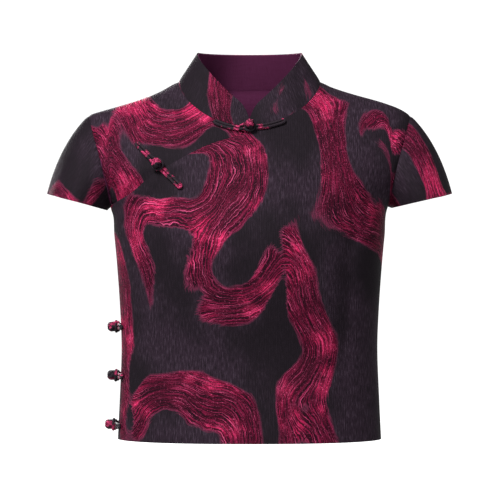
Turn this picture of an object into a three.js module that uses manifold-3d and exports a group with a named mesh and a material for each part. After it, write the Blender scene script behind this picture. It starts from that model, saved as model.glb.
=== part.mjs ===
// A short qipao top: cap sleeves, a stand collar, a diagonal front opening and five frog fastenings.
// Millimetres, +Z up. The front faces -Y and +X is the wearer's left. The origin is midway between
// the two points where the shoulder seams meet the collar, level with them.
import * as THREE from "three";
import { mergeVertices } from "three/addons/utils/BufferGeometryUtils.js";
import Module from "manifold-3d";

const wasm = await Module();
wasm.setup();

// Cloth and seams.
const clothThickness = 1.6;
const collarThickness = 1.4;
const liningThickness = 1;
const seamGap = 0.3;
const underlapGap = 1.4;

// Levels and widths of the cut.
const hemHeight = -427;
const underarmHeight = -150;
const shoulderTipX = 193;
const shoulderTipZ = -40;
const sideNeckX = 85;
const sideNeckZ = 1;
const frontNeckDrop = 55;
const backNeckDrop = 5;
const neckRoundness = 0.62;
const underlapHeight = -182;
const underlapWidth = 28;

// The body in rings: half of its width, and how far its front and back stand off the side seams.
// Above the underarm the width is that of the whole chest, which the armholes cut into.
const rings = [
  { z: -427, halfWidth: 159, front: 100, back: 94 },
  { z: -376, halfWidth: 156.5, front: 97, back: 87 },
  { z: -318, halfWidth: 154.5, front: 99, back: 84 },
  { z: -275, halfWidth: 156, front: 107, back: 88 },
  { z: -217, halfWidth: 160, front: 116, back: 99 },
  { z: -185, halfWidth: 163, front: 115, back: 104 },
  { z: -150, halfWidth: 167, front: 106, back: 106 },
  { z: -135, halfWidth: 177, front: 101, back: 105 },
  { z: -120, halfWidth: 188, front: 96, back: 103 },
  { z: -100, halfWidth: 201, front: 88, back: 99 },
  { z: -60, halfWidth: 214, front: 66, back: 86 },
  { z: -20, halfWidth: 220, front: 52, back: 68 },
  { z: 40, halfWidth: 222, front: 46, back: 56 },
];
const ringPower = 2.3;

// The ridge of each shoulder, and how far below it the cloth is still rounding over. The wearer's
// right shoulder, where the underlap closes, sits a little lower.
const shoulderRidge = [
  { x: 85, left: 1, right: 1 },
  { x: 94, left: -4.5, right: -4.2 },
  { x: 104, left: -8.4, right: -10 },
  { x: 123, left: -14.4, right: -18.4 },
  { x: 161, left: -25.2, right: -30.4 },
  { x: 180, left: -32.4, right: -35.8 },
  { x: 193, left: -40, right: -40 },
  { x: 215, left: -56, right: -54 },
];
const shoulderRound = 100;
const shoulderPower = 2.2;
const frontNeckRise = 12;
const backNeckRise = 89;

// The armhole seam, from the underarm to the shoulder tip.
const armholeSeam = [
  { z: -150, x: 167 },
  { z: -122, x: 171 },
  { z: -103, x: 175 },
  { z: -82, x: 181 },
  { z: -62, x: 187 },
  { z: -40, x: 193 },
];

// The diagonal front edge, from the wearer's right underarm to the pit of the neck.
const diagonalEdge = [
  { x: -167, z: -150 },
  { x: -138, z: -134 },
  { x: -114, z: -114 },
  { x: -95, z: -103 },
  { x: -69, z: -89 },
  { x: -45, z: -77.5 },
  { x: -22, z: -70 },
  { x: -6, z: -64 },
  { x: 0, z: -54 },
];

// The largest folds, as soft troughs pressed into one side, each along a line.
const folds = [
  { side: "front", fromX: -96, fromZ: -128, toX: -152, toZ: -168, width: 20, depth: 2.6 },
  { side: "front", fromX: 128, fromZ: -168, toX: 116, toZ: -338, width: 20, depth: 2.6 },
  { side: "front", fromX: -118, fromZ: -214, toX: -104, toZ: -372, width: 24, depth: 2.2 },
  { side: "front", fromX: 56, fromZ: -238, toX: 72, toZ: -404, width: 26, depth: 1.8 },
  { side: "back", fromX: -96, fromZ: -196, toX: -78, toZ: -398, width: 24, depth: 3 },
  { side: "back", fromX: 104, fromZ: -180, toX: 88, toZ: -372, width: 22, depth: 2.6 },
];

// The cap sleeve's hem, an ellipse seen from above that tilts down towards the body.
const sleeveTipX = 243;
const sleeveTipZ = -134;
const sleeveInnerX = 171;
const sleeveHalfDepth = 60;
const sleeveHemSlope = { left: 0.24, right: 0.28 };
const sleeveCrownBulge = 9;
const sleeveSideBulge = 6;
const armAxisTilt = { outward: 0.6, down: 0.8 };

// The stand collar's top edge, and the round of its two front corners.
const collarTopX = 63;
const collarTopFront = 46;
const collarTopBack = 44;
const collarTopHeight = 36;
const collarFrontHeight = -34;
const collarClimbAngle = 105;
const collarCorner = 16;
const collarEndShare = 0.22;

// Frog fastenings: a hairpin of cord on each side of the opening, one with a ball, one with a loop.
const cordRadius = 1.6;
const hairpinRadius = 1.85;
const ballRadius = 6.4;
const ballLift = 9.6;
const neckRadius = 2.4;
const loopRadius = 7;
const barLift = cordRadius + seamGap;
const loopLift = barLift + 2 * cordRadius + seamGap;
const neckFrogLength = 42;
const neckFrogDrop = 4.6;
const chestFrogLength = 37;
const chestFrog = { x: -106, z: -103, alongX: 0.714, alongZ: -0.7 };
const sideFrogLength = 34;
const sideFrogHeights = [-293, -352, -411];

// Mesh fineness.
const bodyColumns = 32;
const bodyRows = 11;
const armholeRows = 12;
const underlapColumns = 16;
const underlapRows = 3;
const sleeveRows = 6;
const collarColumns = 36;
const collarRows = 3;
const cordSides = 6;

const jacquard = new THREE.MeshStandardMaterial({ color: 0x2e252c, roughness: 0.5, metalness: 0 });
const plumSatin = new THREE.MeshStandardMaterial({ color: 0x461d36, roughness: 0.45, metalness: 0 });
const frogCord = new THREE.MeshStandardMaterial({ color: 0x4a1b2c, roughness: 0.55, metalness: 0 });

const top = new THREE.Group();

function add(name, geometry, material) {
  const mesh = new THREE.Mesh(geometry, material);
  mesh.name = name;
  top.add(mesh);
}

// ---- The surface of the body -----------------------------------------------------------------

function interpolant(rows, key, values) {
  const places = rows.map((row) => row[key]);
  const samples = rows.flatMap((row) => values.map((value) => row[value]));
  return new THREE.CubicInterpolant(places, samples, values.length);
}

const ringTable = interpolant(rings, "z", ["halfWidth", "front", "back"]);
const ridgeTable = interpolant(shoulderRidge, "x", ["left", "right"]);
const armholeTable = interpolant(armholeSeam, "z", ["x"]);

function ringAt(z) {
  const [halfWidth, front, back] = ringTable.evaluate(z);
  return { halfWidth, front, back };
}

// The top of the shoulder at x. Inside the neck it goes on upwards, as the foot of the neck does.
function ridgeAt(x, side) {
  const out = Math.abs(x);
  if (out >= sideNeckX) return ridgeTable.evaluate(out)[x > 0 ? 0 : 1];
  const part = out / sideNeckX;
  const rise = side === "front" ? frontNeckRise * (1 - part ** 4) : backNeckRise * (1 - part ** 2) ** 1.5;
  return sideNeckZ + rise;
}

function foldDepth(x, z, side) {
  let depth = 0;
  for (const fold of folds) {
    if (fold.side !== side) continue;
    const alongX = fold.toX - fold.fromX;
    const alongZ = fold.toZ - fold.fromZ;
    const length = Math.hypot(alongX, alongZ);
    const along = ((x - fold.fromX) * alongX + (z - fold.fromZ) * alongZ) / length ** 2;
    const across = ((x - fold.fromX) * alongZ - (z - fold.fromZ) * alongX) / length;
    const taper = Math.exp(-((2 * along - 1) ** 4));
    depth += fold.depth * taper * Math.exp(-((across / fold.width) ** 2));
  }
  return depth;
}

// How far the body's front lies towards -Y, or its back towards +Y, at x and z.
function bodyY(x, z, side) {
  const ring = ringAt(z);
  const across = Math.max(0, 1 - (Math.abs(x) / ring.halfWidth) ** ringPower) ** (1 / ringPower);
  const below = THREE.MathUtils.clamp((ridgeAt(x, side) - z) / shoulderRound, 0, 1);
  const over = (1 - (1 - below) ** shoulderPower) ** (1 / shoulderPower);
  const depth = Math.max((ring[side] - foldDepth(x, z, side)) * across * over, seamGap / 2);
  return side === "front" ? -depth : depth;
}

function bodyNormal(x, z, side) {
  const step = 0.3;
  const width = ringAt(z).halfWidth - 2 * step;
  const inX = THREE.MathUtils.clamp(x, -width, width);
  const inZ = Math.min(z, ridgeAt(inX, side) - 2 * step);
  const slopeX = (bodyY(inX + step, inZ, side) - bodyY(inX - step, inZ, side)) / (2 * step);
  const slopeZ = (bodyY(inX, inZ + step, side) - bodyY(inX, inZ - step, side)) / (2 * step);
  const sign = side === "front" ? 1 : -1;
  const normal = new THREE.Vector3(sign * slopeX, -sign, sign * slopeZ);
  const onSeam = Math.abs(bodyY(x, z, side)) <= seamGap / 2;
  if (onSeam) normal.y = 0;
  return normal.normalize();
}

// A point of the body with its normal, let down below the surface by drop.
function onBody(x, z, side, drop = 0) {
  const normal = bodyNormal(x, z, side);
  const point = new THREE.Vector3(x, bodyY(x, z, side), z).addScaledVector(normal, -drop);
  return { point, normal };
}

// ---- Seams and edges, as points of x and z ----------------------------------------------------

const flat = (x, z) => new THREE.Vector2(x, z);

function neckline(angle, side) {
  const drop = side === "front" ? frontNeckDrop : backNeckDrop;
  const round = Math.abs(Math.cos(angle)) ** (2 * neckRoundness);
  return flat(sideNeckX * Math.sin(angle), sideNeckZ - drop * round);
}

// The shoulder seam, from its tip to the neck, with its points crowded towards the tip.
function shoulderSeam(part, sign) {
  const x = shoulderTipX + (sideNeckX - shoulderTipX) * part ** 1.5;
  return flat(sign * x, ridgeAt(sign * x, "front"));
}

// The side seam and, above the underarm, the armhole.
function sideEdge(z, sign) {
  const x = z > underarmHeight ? armholeTable.evaluate(z)[0] : ringAt(z).halfWidth;
  return flat(sign * x, z);
}

const diagonalCurve = new THREE.CatmullRomCurve3(
  diagonalEdge.map(({ x, z }) => new THREE.Vector3(x, 0, z)),
  false,
  "centripetal",
);

function diagonal(part) {
  const { x, z } = diagonalCurve.getPoint(part);
  return flat(x, z);
}

function chain(parts) {
  return (u) => {
    let start = 0;
    for (const [index, part] of parts.entries()) {
      const last = index === parts.length - 1;
      if (u <= start + part.share || last) return part.at(Math.min((u - start) / part.share, 1));
      start += part.share;
    }
  };
}

// How far across a ring the part u of its way from one side seam to the other lies, from -1 to 1.
function acrossRing(u) {
  const turn = (u - 0.5) * Math.PI;
  return Math.sign(turn) * Math.abs(Math.sin(turn)) ** (2 / ringPower);
}

function hemAt(u) {
  return flat(acrossRing(u) * ringAt(hemHeight).halfWidth, hemHeight);
}

// ---- Cloth walls -------------------------------------------------------------------------------

function signedVolume(points, faces) {
  let volume = 0;
  for (let i = 0; i < faces.length; i += 3) {
    const [a, b, c] = [points[faces[i]], points[faces[i + 1]], points[faces[i + 2]]];
    volume += a.dot(b.clone().cross(c)) / 6;
  }
  return volume;
}

function closedBody(points, faces) {
  if (signedVolume(points, faces) < 0) faces.reverse();
  const geometry = new THREE.BufferGeometry();
  geometry.setAttribute("position", new THREE.Float32BufferAttribute(points.flatMap((p) => p.toArray()), 3));
  geometry.setIndex(faces);
  return geometry;
}

// The wall between a grid of points and the same grid moved in along its normals.
function clothWall(rows, thickness, around = false) {
  const columns = rows[0].length;
  const outer = rows.flat().map(({ point }) => point);
  const inner = rows.flat().map(({ point, normal }) => point.clone().addScaledVector(normal, -thickness));
  const under = outer.length;
  const faces = [];
  const quad = (a, b, c, d) => faces.push(a, b, c, a, c, d);
  const at = (row, column) => row * columns + (column % columns);
  const spans = around ? columns : columns - 1;
  const lastRow = rows.length - 1;
  for (let column = 0; column < spans; column++) {
    for (let row = 0; row < lastRow; row++) {
      const [a, b] = [at(row, column), at(row, column + 1)];
      const [d, c] = [at(row + 1, column), at(row + 1, column + 1)];
      quad(a, b, c, d);
      quad(under + a, under + d, under + c, under + b);
    }
    const [a, b] = [at(0, column), at(0, column + 1)];
    const [d, c] = [at(lastRow, column), at(lastRow, column + 1)];
    quad(a, under + a, under + b, b);
    quad(d, c, under + c, under + d);
  }
  for (let row = 0; row < lastRow && !around; row++) {
    const [a, d] = [at(row, 0), at(row + 1, 0)];
    const [b, c] = [at(row, spans), at(row + 1, spans)];
    quad(a, d, under + d, under + a);
    quad(b, under + b, under + c, c);
  }
  return closedBody([...outer, ...inner], faces);
}

// The heights of the armhole's points, crowded towards the underarm and the shoulder tip. All the
// pieces that meet at the armhole have their rows there, so their edges match.
function armholeHeight(turn) {
  const middle = (shoulderTipZ + underarmHeight) / 2;
  return middle + (shoulderTipZ - middle) * Math.cos(turn);
}

// The rows of a body piece, as parts of the way from its lowest height to the shoulder tip.
function rowLevels(lowest, rowCount) {
  const heights = Array.from({ length: rowCount }, (_, j) =>
    THREE.MathUtils.lerp(lowest, underarmHeight, j / rowCount),
  );
  for (let k = 0; k <= armholeRows; k++) heights.push(armholeHeight(Math.PI * (1 - k / armholeRows)));
  return heights.map((z) => (z - lowest) / (shoulderTipZ - lowest));
}

// A four-sided piece of the body, worked out between its four edges.
function bodyPanel({ bottom, top: upper, left, right, columns, levels, side, drop = () => 0 }) {
  const rows = [];
  for (const w of levels) {
    const row = [];
    for (let i = 0; i <= columns; i++) {
      const u = i / columns;
      const place = bottom(u).multiplyScalar(1 - w).addScaledVector(upper(u), w);
      place.addScaledVector(left(w), 1 - u).addScaledVector(right(w), u);
      place.addScaledVector(bottom(0), -(1 - u) * (1 - w)).addScaledVector(bottom(1), -u * (1 - w));
      place.addScaledVector(upper(0), -(1 - u) * w).addScaledVector(upper(1), -u * w);
      row.push(onBody(place.x, place.y, side, drop(place.x, place.y)));
    }
    rows.push(row);
  }
  return clothWall(rows, clothThickness);
}

const wholeEdge = (sign) => (w) => sideEdge(THREE.MathUtils.lerp(hemHeight, shoulderTipZ, w), sign);

function backPanel() {
  const shoulderShare = 0.25;
  return bodyPanel({
    bottom: hemAt,
    top: chain([
      { share: shoulderShare, at: (t) => shoulderSeam(t, -1) },
      { share: 1 - 2 * shoulderShare, at: (t) => neckline((t - 0.5) * Math.PI, "back") },
      { share: shoulderShare, at: (t) => shoulderSeam(1 - t, 1) },
    ]),
    left: wholeEdge(-1),
    right: wholeEdge(1),
    columns: bodyColumns,
    levels: rowLevels(hemHeight, bodyRows),
    side: "back",
  });
}

function frontPanel() {
  return bodyPanel({
    bottom: hemAt,
    top: chain([
      { share: 0.5, at: (t) => diagonal(1 + acrossRing(t / 2)) },
      { share: 0.25, at: (t) => neckline((t * Math.PI) / 2, "front") },
      { share: 0.25, at: (t) => shoulderSeam(1 - t, 1) },
    ]),
    left: (w) => sideEdge(THREE.MathUtils.lerp(hemHeight, underarmHeight, w), -1),
    right: wholeEdge(1),
    columns: bodyColumns,
    levels: rowLevels(hemHeight, bodyRows),
    side: "front",
  });
}

// How far the underlap lies below the main front: all the way under it, and less with distance.
const diagonalPlaces = diagonalCurve.getPoints(60);

function underlapDrop(x, z) {
  let nearest = diagonalPlaces[0];
  let distance = Infinity;
  for (const place of diagonalPlaces) {
    const away = Math.hypot(x - place.x, z - place.z);
    if (away < distance) [nearest, distance] = [place, away];
  }
  const above = z > nearest.z || x < nearest.x ? distance : 0;
  return (clothThickness + underlapGap) * (1 - THREE.MathUtils.smoothstep(above, 10, 45));
}

function underlapPanel() {
  return bodyPanel({
    bottom: (u) => {
      const { x, y } = diagonal(1 + acrossRing(u / 2));
      const share = 1 - u;
      const edge = sideEdge(underlapHeight, -1);
      const below = flat(x + underlapWidth * 0.3 * u, y - underlapWidth);
      return below.multiplyScalar(1 - share ** 8).addScaledVector(edge, share ** 8);
    },
    top: chain([
      { share: 0.5, at: (t) => shoulderSeam(t, -1) },
      { share: 0.5, at: (t) => neckline(((t - 1) * Math.PI) / 2, "front") },
    ]),
    left: (w) => sideEdge(THREE.MathUtils.lerp(underlapHeight, shoulderTipZ, w), -1),
    right: (w) => {
      const low = diagonal(1).add(flat(underlapWidth * 0.3, -underlapWidth));
      return low.lerp(neckline(0, "front"), w);
    },
    columns: underlapColumns,
    levels: rowLevels(underlapHeight, underlapRows),
    side: "front",
    drop: underlapDrop,
  });
}

// ---- Sleeves ------------------------------------------------------------------------------------

// Normals of a grid from its neighbours, turned to the side that the outward rule gives.
function withNormals(grid, around, outward) {
  const lastRow = grid.length - 1;
  const columns = grid[0].length;
  const wrap = (i) => (around ? (i + columns) % columns : THREE.MathUtils.clamp(i, 0, columns - 1));
  return grid.map((row, j) =>
    row.map((point, i) => {
      const along = row[wrap(i + 1)].clone().sub(row[wrap(i - 1)]);
      const up = grid[Math.min(j + 1, lastRow)][i].clone().sub(grid[Math.max(j - 1, 0)][i]);
      const normal = along.cross(up).normalize();
      if (normal.dot(outward(point)) < 0) normal.negate();
      return { point, normal };
    }),
  );
}

// The armhole seam of one side: from the shoulder tip down its front, and up its back.
function armholeAt(turn, sign) {
  const z = armholeHeight(turn);
  return onBody(sideEdge(z, sign).x, z, Math.sin(turn) >= 0 ? "front" : "back");
}

function sleeveHemAt(turn, sign) {
  const x = THREE.MathUtils.lerp(sleeveInnerX, sleeveTipX, (1 + Math.cos(turn)) / 2);
  const slope = sign > 0 ? sleeveHemSlope.left : sleeveHemSlope.right;
  const z = sleeveTipZ - slope * (sleeveTipX - x);
  return new THREE.Vector3(sign * x, -sleeveHalfDepth * Math.sin(turn), z);
}

function sleeve(sign) {
  const quarter = Math.PI / 2;
  const hole = armholeAt(quarter, sign).point.lerp(armholeAt(-quarter, sign).point, 0.5);
  const cuff = sleeveHemAt(quarter, sign).lerp(sleeveHemAt(-quarter, sign), 0.5);
  const middle = hole.clone().lerp(cuff, 0.5);
  const armAxis = new THREE.Vector3(sign * armAxisTilt.outward, 0, -armAxisTilt.down);
  const seams = [];
  const grid = Array.from({ length: sleeveRows + 1 }, () => []);
  for (let i = 0; i < 2 * armholeRows; i++) {
    const turn = (i / armholeRows) * Math.PI;
    const seam = armholeAt(turn, sign);
    const hem = sleeveHemAt(turn, sign);
    const control = seam.point.clone().lerp(hem, 0.45);
    const radial = control.clone().sub(middle).projectOnPlane(armAxis).normalize();
    const bulge = Math.max(0, sleeveSideBulge + sleeveCrownBulge * Math.cos(turn));
    control.addScaledVector(radial, bulge);
    const along = armholeAt(turn + 0.02, sign).point.sub(armholeAt(turn - 0.02, sign).point);
    const away = along.cross(seam.normal).normalize();
    if (away.dot(hole.clone().sub(seam.point)) < 0) away.negate();
    const start = seam.point.clone().addScaledVector(away, seamGap);
    const curve = new THREE.QuadraticBezierCurve3(start, control, hem);
    grid.forEach((row, j) => row.push(curve.getPoint(j / sleeveRows)));
    seams.push({ normal: seam.normal, away });
  }
  const rows = withNormals(grid, true, (point) => point.clone().sub(middle));
  // The seam's own wall is parallel to the body's edge, but turns over where the underarm folds back.
  rows[0].forEach((spot, i) => {
    const { normal, away } = seams[i];
    const fold = THREE.MathUtils.clamp(-4 * spot.normal.dot(away), 0, 1);
    spot.normal.multiplyScalar(fold).add(normal).normalize();
  });
  return clothWall(rows, clothThickness, true);
}

// ---- Collar -------------------------------------------------------------------------------------

function collarBaseAt(angle) {
  const side = Math.cos(angle) > 0 ? "front" : "back";
  const place = neckline(angle, side);
  return onBody(place.x, place.y, side).point;
}

function collarTopAt(angle) {
  const degrees = THREE.MathUtils.radToDeg(Math.min(angle, 2 * Math.PI - angle));
  const climb = Math.sin((Math.min(degrees / collarClimbAngle, 1) * Math.PI) / 2) ** 1.15;
  const depth = Math.cos(angle) > 0 ? collarTopFront : collarTopBack;
  const z = THREE.MathUtils.lerp(collarFrontHeight, collarTopHeight, climb);
  return new THREE.Vector3(collarTopX * Math.sin(angle), -depth * Math.cos(angle), z);
}

function collarRing(inset, thickness, baseGap) {
  const endAngle = Math.asin((seamGap + 0.2) / sideNeckX);
  const grid = Array.from({ length: collarRows + 1 }, () => []);
  for (let i = 0; i <= collarColumns; i++) {
    const angle = THREE.MathUtils.lerp(endAngle, 2 * Math.PI - endAngle, i / collarColumns);
    const base = collarBaseAt(angle);
    const edge = collarTopAt(angle);
    const fromEnd = Math.min(angle, 2 * Math.PI - angle) * sideNeckX;
    const inCorner = Math.max(0, 1 - fromEnd / collarCorner);
    const height = collarEndShare + (1 - collarEndShare) * Math.sqrt(1 - inCorner ** 2);
    const lift = baseGap / base.distanceTo(edge);
    grid.forEach((row, j) => {
      const part = THREE.MathUtils.lerp(lift, height, j / collarRows);
      row.push(base.clone().lerp(edge, part));
    });
  }
  const rows = withNormals(grid, false, (point) => new THREE.Vector3(point.x, point.y, 0));
  for (const { point, normal } of rows.flat()) {
    point.addScaledVector(normal, -inset);
  }
  return clothWall(rows, thickness);
}

// ---- Frog fastenings ----------------------------------------------------------------------------

// A closed cord through the places, each with the normal of the cloth below it.
function cordRing(places) {
  const count = places.length;
  const points = [];
  const faces = [];
  places.forEach(({ point, normal }, i) => {
    const ahead = places[(i + 1) % count].point;
    const behind = places[(i + count - 1) % count].point;
    const sideways = ahead.clone().sub(behind).cross(normal).normalize();
    for (let k = 0; k < cordSides; k++) {
      const turn = ((k + 0.5) / cordSides) * 2 * Math.PI;
      const out = sideways.clone().multiplyScalar(cordRadius * Math.cos(turn));
      points.push(point.clone().add(out.addScaledVector(normal, cordRadius * Math.sin(turn))));
    }
    const next = (i + 1) % count;
    for (let k = 0; k < cordSides; k++) {
      const beside = (k + 1) % cordSides;
      const [a, b] = [i * cordSides + k, i * cordSides + beside];
      const [d, c] = [next * cordSides + k, next * cordSides + beside];
      faces.push(a, b, c, a, c, d);
    }
  });
  return closedBody(points, faces);
}

// Places on the cloth beside a line: s along it from the knot, w sideways and h above the cloth.
function placer(lineAt) {
  return (s, w, h) => {
    const { point, normal } = lineAt(s);
    const tangent = lineAt(s + 0.5).point.sub(lineAt(s - 0.5).point);
    const sideways = normal.clone().cross(tangent).normalize();
    return { point: point.clone().addScaledVector(sideways, w).addScaledVector(normal, h), normal };
  };
}

function arc(middle, radius, from, to, count) {
  return Array.from({ length: count + 1 }, (_, i) => {
    const turn = THREE.MathUtils.degToRad(THREE.MathUtils.lerp(from, to, i / count));
    return { s: middle + radius * Math.cos(turn), w: radius * Math.sin(turn) };
  });
}

function leg(from, to, w, count) {
  return Array.from({ length: count - 1 }, (_, i) => ({
    s: THREE.MathUtils.lerp(from, to, (i + 1) / count),
    w,
  }));
}

// The loop half lies at s below 0, and its round end stands over the other half's cords.
function loopHalf(place, length) {
  const far = -length + hairpinRadius;
  const near = -loopRadius - 4.5;
  const outline = [
    ...arc(far, hairpinRadius, 90, 270, 4),
    ...leg(far, near, -hairpinRadius, 4),
    ...arc(0, loopRadius, -150, 150, 8),
    ...leg(near, far, hairpinRadius, 4),
  ];
  const rise = (s) => THREE.MathUtils.smoothstep(s, near - 5, -loopRadius);
  return cordRing(outline.map(({ s, w }) => place(s, w, THREE.MathUtils.lerp(barLift, loopLift, rise(s)))));
}

function solidOf(geometry) {
  const bare = new THREE.BufferGeometry();
  bare.setAttribute("position", geometry.getAttribute("position"));
  bare.setIndex(geometry.getIndex());
  const merged = mergeVertices(bare);
  return new wasm.Manifold(
    new wasm.Mesh({
      numProp: 3,
      vertProperties: merged.attributes.position.array,
      triVerts: new Uint32Array(merged.index.array),
    }),
  );
}

function joined(geometries) {
  const mesh = geometries
    .map(solidOf)
    .reduce((whole, piece) => whole.add(piece))
    .getMesh();
  const geometry = new THREE.BufferGeometry();
  geometry.setAttribute("position", new THREE.BufferAttribute(mesh.vertProperties, 3));
  geometry.setIndex(new THREE.BufferAttribute(mesh.triVerts, 1));
  return geometry;
}

function buttonHalf(place, length) {
  const outline = [
    ...arc(length - hairpinRadius, hairpinRadius, -90, 90, 4),
    ...leg(length - hairpinRadius, 0, hairpinRadius, 7),
    ...arc(0, hairpinRadius, 90, 270, 4),
    ...leg(0, length - hairpinRadius, -hairpinRadius, 7),
  ];
  const foot = place(0, 0, barLift);
  const ball = place(0, 0, ballLift);
  const upright = new THREE.Quaternion().setFromUnitVectors(new THREE.Vector3(0, 1, 0), foot.normal);
  const stem = new THREE.CylinderGeometry(neckRadius, neckRadius, ballLift - barLift, 8);
  stem.applyQuaternion(upright);
  stem.translate(...foot.point.clone().lerp(ball.point, 0.5).toArray());
  const knot = new THREE.SphereGeometry(ballRadius, 10, 7);
  knot.applyQuaternion(upright);
  knot.translate(...ball.point.toArray());
  return joined([cordRing(outline.map(({ s, w }) => place(s, w, barLift))), stem, knot]);
}

function frog(name, lineAt, length) {
  const place = placer(lineAt);
  add(`${name}_loop`, loopHalf(place, length), frogCord);
  add(`${name}_button`, buttonHalf(place, length), frogCord);
}

// The line keeps to the main front at the knot, and sinks to the underlap towards its loop's end.
function onFront(x, z, s) {
  const sink = underlapDrop(x, z) * THREE.MathUtils.smoothstep(-s, 6, 13);
  return onBody(x, z, "front", sink);
}

function neckFrogLine(s) {
  const angle = Math.asin((s * 0.98) / sideNeckX);
  const place = neckline(angle, "front");
  return onFront(place.x, place.y - neckFrogDrop, s);
}

function chestFrogLine(s) {
  return onFront(chestFrog.x + s * chestFrog.alongX, chestFrog.z + s * chestFrog.alongZ, s);
}

// A line round the wearer's right side at one height: s is the way round from the side seam,
// to the front where it is above 0.
function sideFrogLine(z) {
  return (s) => {
    const side = s >= 0 ? "front" : "back";
    const ring = ringAt(z);
    const step = 0.004;
    let turn = 0;
    let way = 0;
    let last = flat(ring.halfWidth, 0);
    while (way < Math.abs(s)) {
      turn += step;
      const across = ring.halfWidth * Math.cos(turn) ** (2 / ringPower);
      const next = flat(across, ring[side] * Math.sin(turn) ** (2 / ringPower));
      way += next.distanceTo(last);
      last = next;
    }
    return onBody(-last.x, z, side);
  };
}

// ---- The pieces ---------------------------------------------------------------------------------

add("front_panel", frontPanel(), jacquard);
add("underlap_panel", underlapPanel(), jacquard);
add("back_panel", backPanel(), jacquard);
add("sleeve_right", sleeve(-1), jacquard);
add("sleeve_left", sleeve(1), jacquard);
add("collar_stand", collarRing(0, collarThickness, 1.5 * seamGap), jacquard);
const liningInset = collarThickness + seamGap;
add("collar_lining", collarRing(liningInset, liningThickness, liningInset), plumSatin);

frog("frog_neck", neckFrogLine, neckFrogLength);
frog("frog_chest", chestFrogLine, chestFrogLength);
sideFrogHeights.forEach((z, i) => frog(`frog_side_${i + 1}`, sideFrogLine(z), sideFrogLength));

export default top;
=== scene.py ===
import math

import bmesh
import bpy
import numpy as np
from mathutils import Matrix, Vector


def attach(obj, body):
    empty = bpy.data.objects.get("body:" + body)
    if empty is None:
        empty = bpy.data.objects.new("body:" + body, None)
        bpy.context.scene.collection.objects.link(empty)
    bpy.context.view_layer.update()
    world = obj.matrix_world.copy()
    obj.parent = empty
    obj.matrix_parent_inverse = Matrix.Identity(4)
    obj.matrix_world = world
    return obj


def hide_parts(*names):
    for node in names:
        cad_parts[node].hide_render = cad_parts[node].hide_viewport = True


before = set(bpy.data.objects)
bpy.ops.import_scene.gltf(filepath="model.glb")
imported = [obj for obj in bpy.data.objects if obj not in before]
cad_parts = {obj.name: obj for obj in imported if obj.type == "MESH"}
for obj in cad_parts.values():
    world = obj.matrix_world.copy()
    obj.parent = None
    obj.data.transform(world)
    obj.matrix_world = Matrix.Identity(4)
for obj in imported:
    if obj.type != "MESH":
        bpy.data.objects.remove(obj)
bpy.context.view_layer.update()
print("frame loaded:", len(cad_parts), "CAD nodes")

# The pieces are worked out in millimetres, as they were cut, and made in metres.
mm = 0.001

studio = {
    "cameraPlace": (0.0006, -3.0, -0.2016),
    "lens": 180,
    "sensor": 36,
    "floorHeight": -0.62,
    "wallRadius": 7.0,
    "wallCurl": 2.0,
    "wallHeight": 6.0,
    "skyStrength": 0.08,
    "paperColour": (0.2, 0.2, 0.2, 1),
    "paperRoughness": 0.9,
    "paperGlow": 0.9,
    # name, place, what it points at, size, power
    "lights": [
        ("key", (-1.1, -1.9, 2.0), (0, 0, -0.15), (0.9, 0.9), 335),
        ("fill", (2.2, -1.8, 0.1), (0, 0, -0.2), (1.6, 2.0), 4),
        ("top", (0.2, 0.9, 1.9), (0, 0.1, -0.1), (1.8, 1.2), 14),
        ("rear", (-0.9, 2.6, 0.9), (0, 0, -0.2), (1.6, 1.6), 110),
    ],
}


def makeCamera():
    data = bpy.data.cameras.new("camera")
    data.lens = studio["lens"]
    data.sensor_width = studio["sensor"]
    data.sensor_fit = "HORIZONTAL"
    data.clip_end = 50
    camera = bpy.data.objects.new("camera", data)
    camera.location = studio["cameraPlace"]
    camera.rotation_euler = (math.radians(90), 0, 0)
    bpy.context.scene.collection.objects.link(camera)
    bpy.context.scene.camera = camera


def areaLight(name, place, target, size, power):
    data = bpy.data.lights.new(name, "AREA")
    data.shape = "RECTANGLE"
    data.size, data.size_y = size
    data.energy = power
    light = bpy.data.objects.new(name, data)
    light.location = place
    toTarget = Vector(target) - Vector(place)
    light.rotation_euler = toTarget.to_track_quat("-Z", "Y").to_euler()
    bpy.context.scene.collection.objects.link(light)


def makeFloor():
    # a round floor whose rim curves up into a wall on every side
    z = studio["floorHeight"]
    far = studio["wallRadius"]
    curl = studio["wallCurl"]
    profile = [(0, z), (far - curl, z)]
    for t in np.linspace(0.1, math.pi / 2, 12):
        profile.append((far - curl + curl * math.sin(t), z + curl - curl * math.cos(t)))
    profile.append((far, z + studio["wallHeight"]))
    bm = bmesh.new()
    line = [bm.verts.new((x, 0, height)) for x, height in profile]
    edges = [bm.edges.new(pair) for pair in zip(line, line[1:])]
    bmesh.ops.spin(bm, geom=line + edges, cent=(0, 0, 0), axis=(0, 0, 1), dvec=(0, 0, 0),
                   angle=2 * math.pi, steps=72, use_merge=True)
    bmesh.ops.remove_doubles(bm, verts=bm.verts, dist=0.0001)
    bmesh.ops.recalc_face_normals(bm, faces=bm.faces)
    mesh = bpy.data.meshes.new("floor")
    bm.to_mesh(mesh)
    bm.free()
    for polygon in mesh.polygons:
        polygon.use_smooth = True
    floor = bpy.data.objects.new("floor", mesh)
    bpy.context.scene.collection.objects.link(floor)
    paper = bpy.data.materials.new("studio paper")
    paper.use_nodes = True
    shader = paper.node_tree.nodes["Principled BSDF"]
    shader.inputs["Base Color"].default_value = studio["paperColour"]
    shader.inputs["Roughness"].default_value = studio["paperRoughness"]
    shader.inputs["Emission Color"].default_value = (1, 1, 1, 1)
    shader.inputs["Emission Strength"].default_value = studio["paperGlow"]
    mesh.materials.append(paper)


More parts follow.
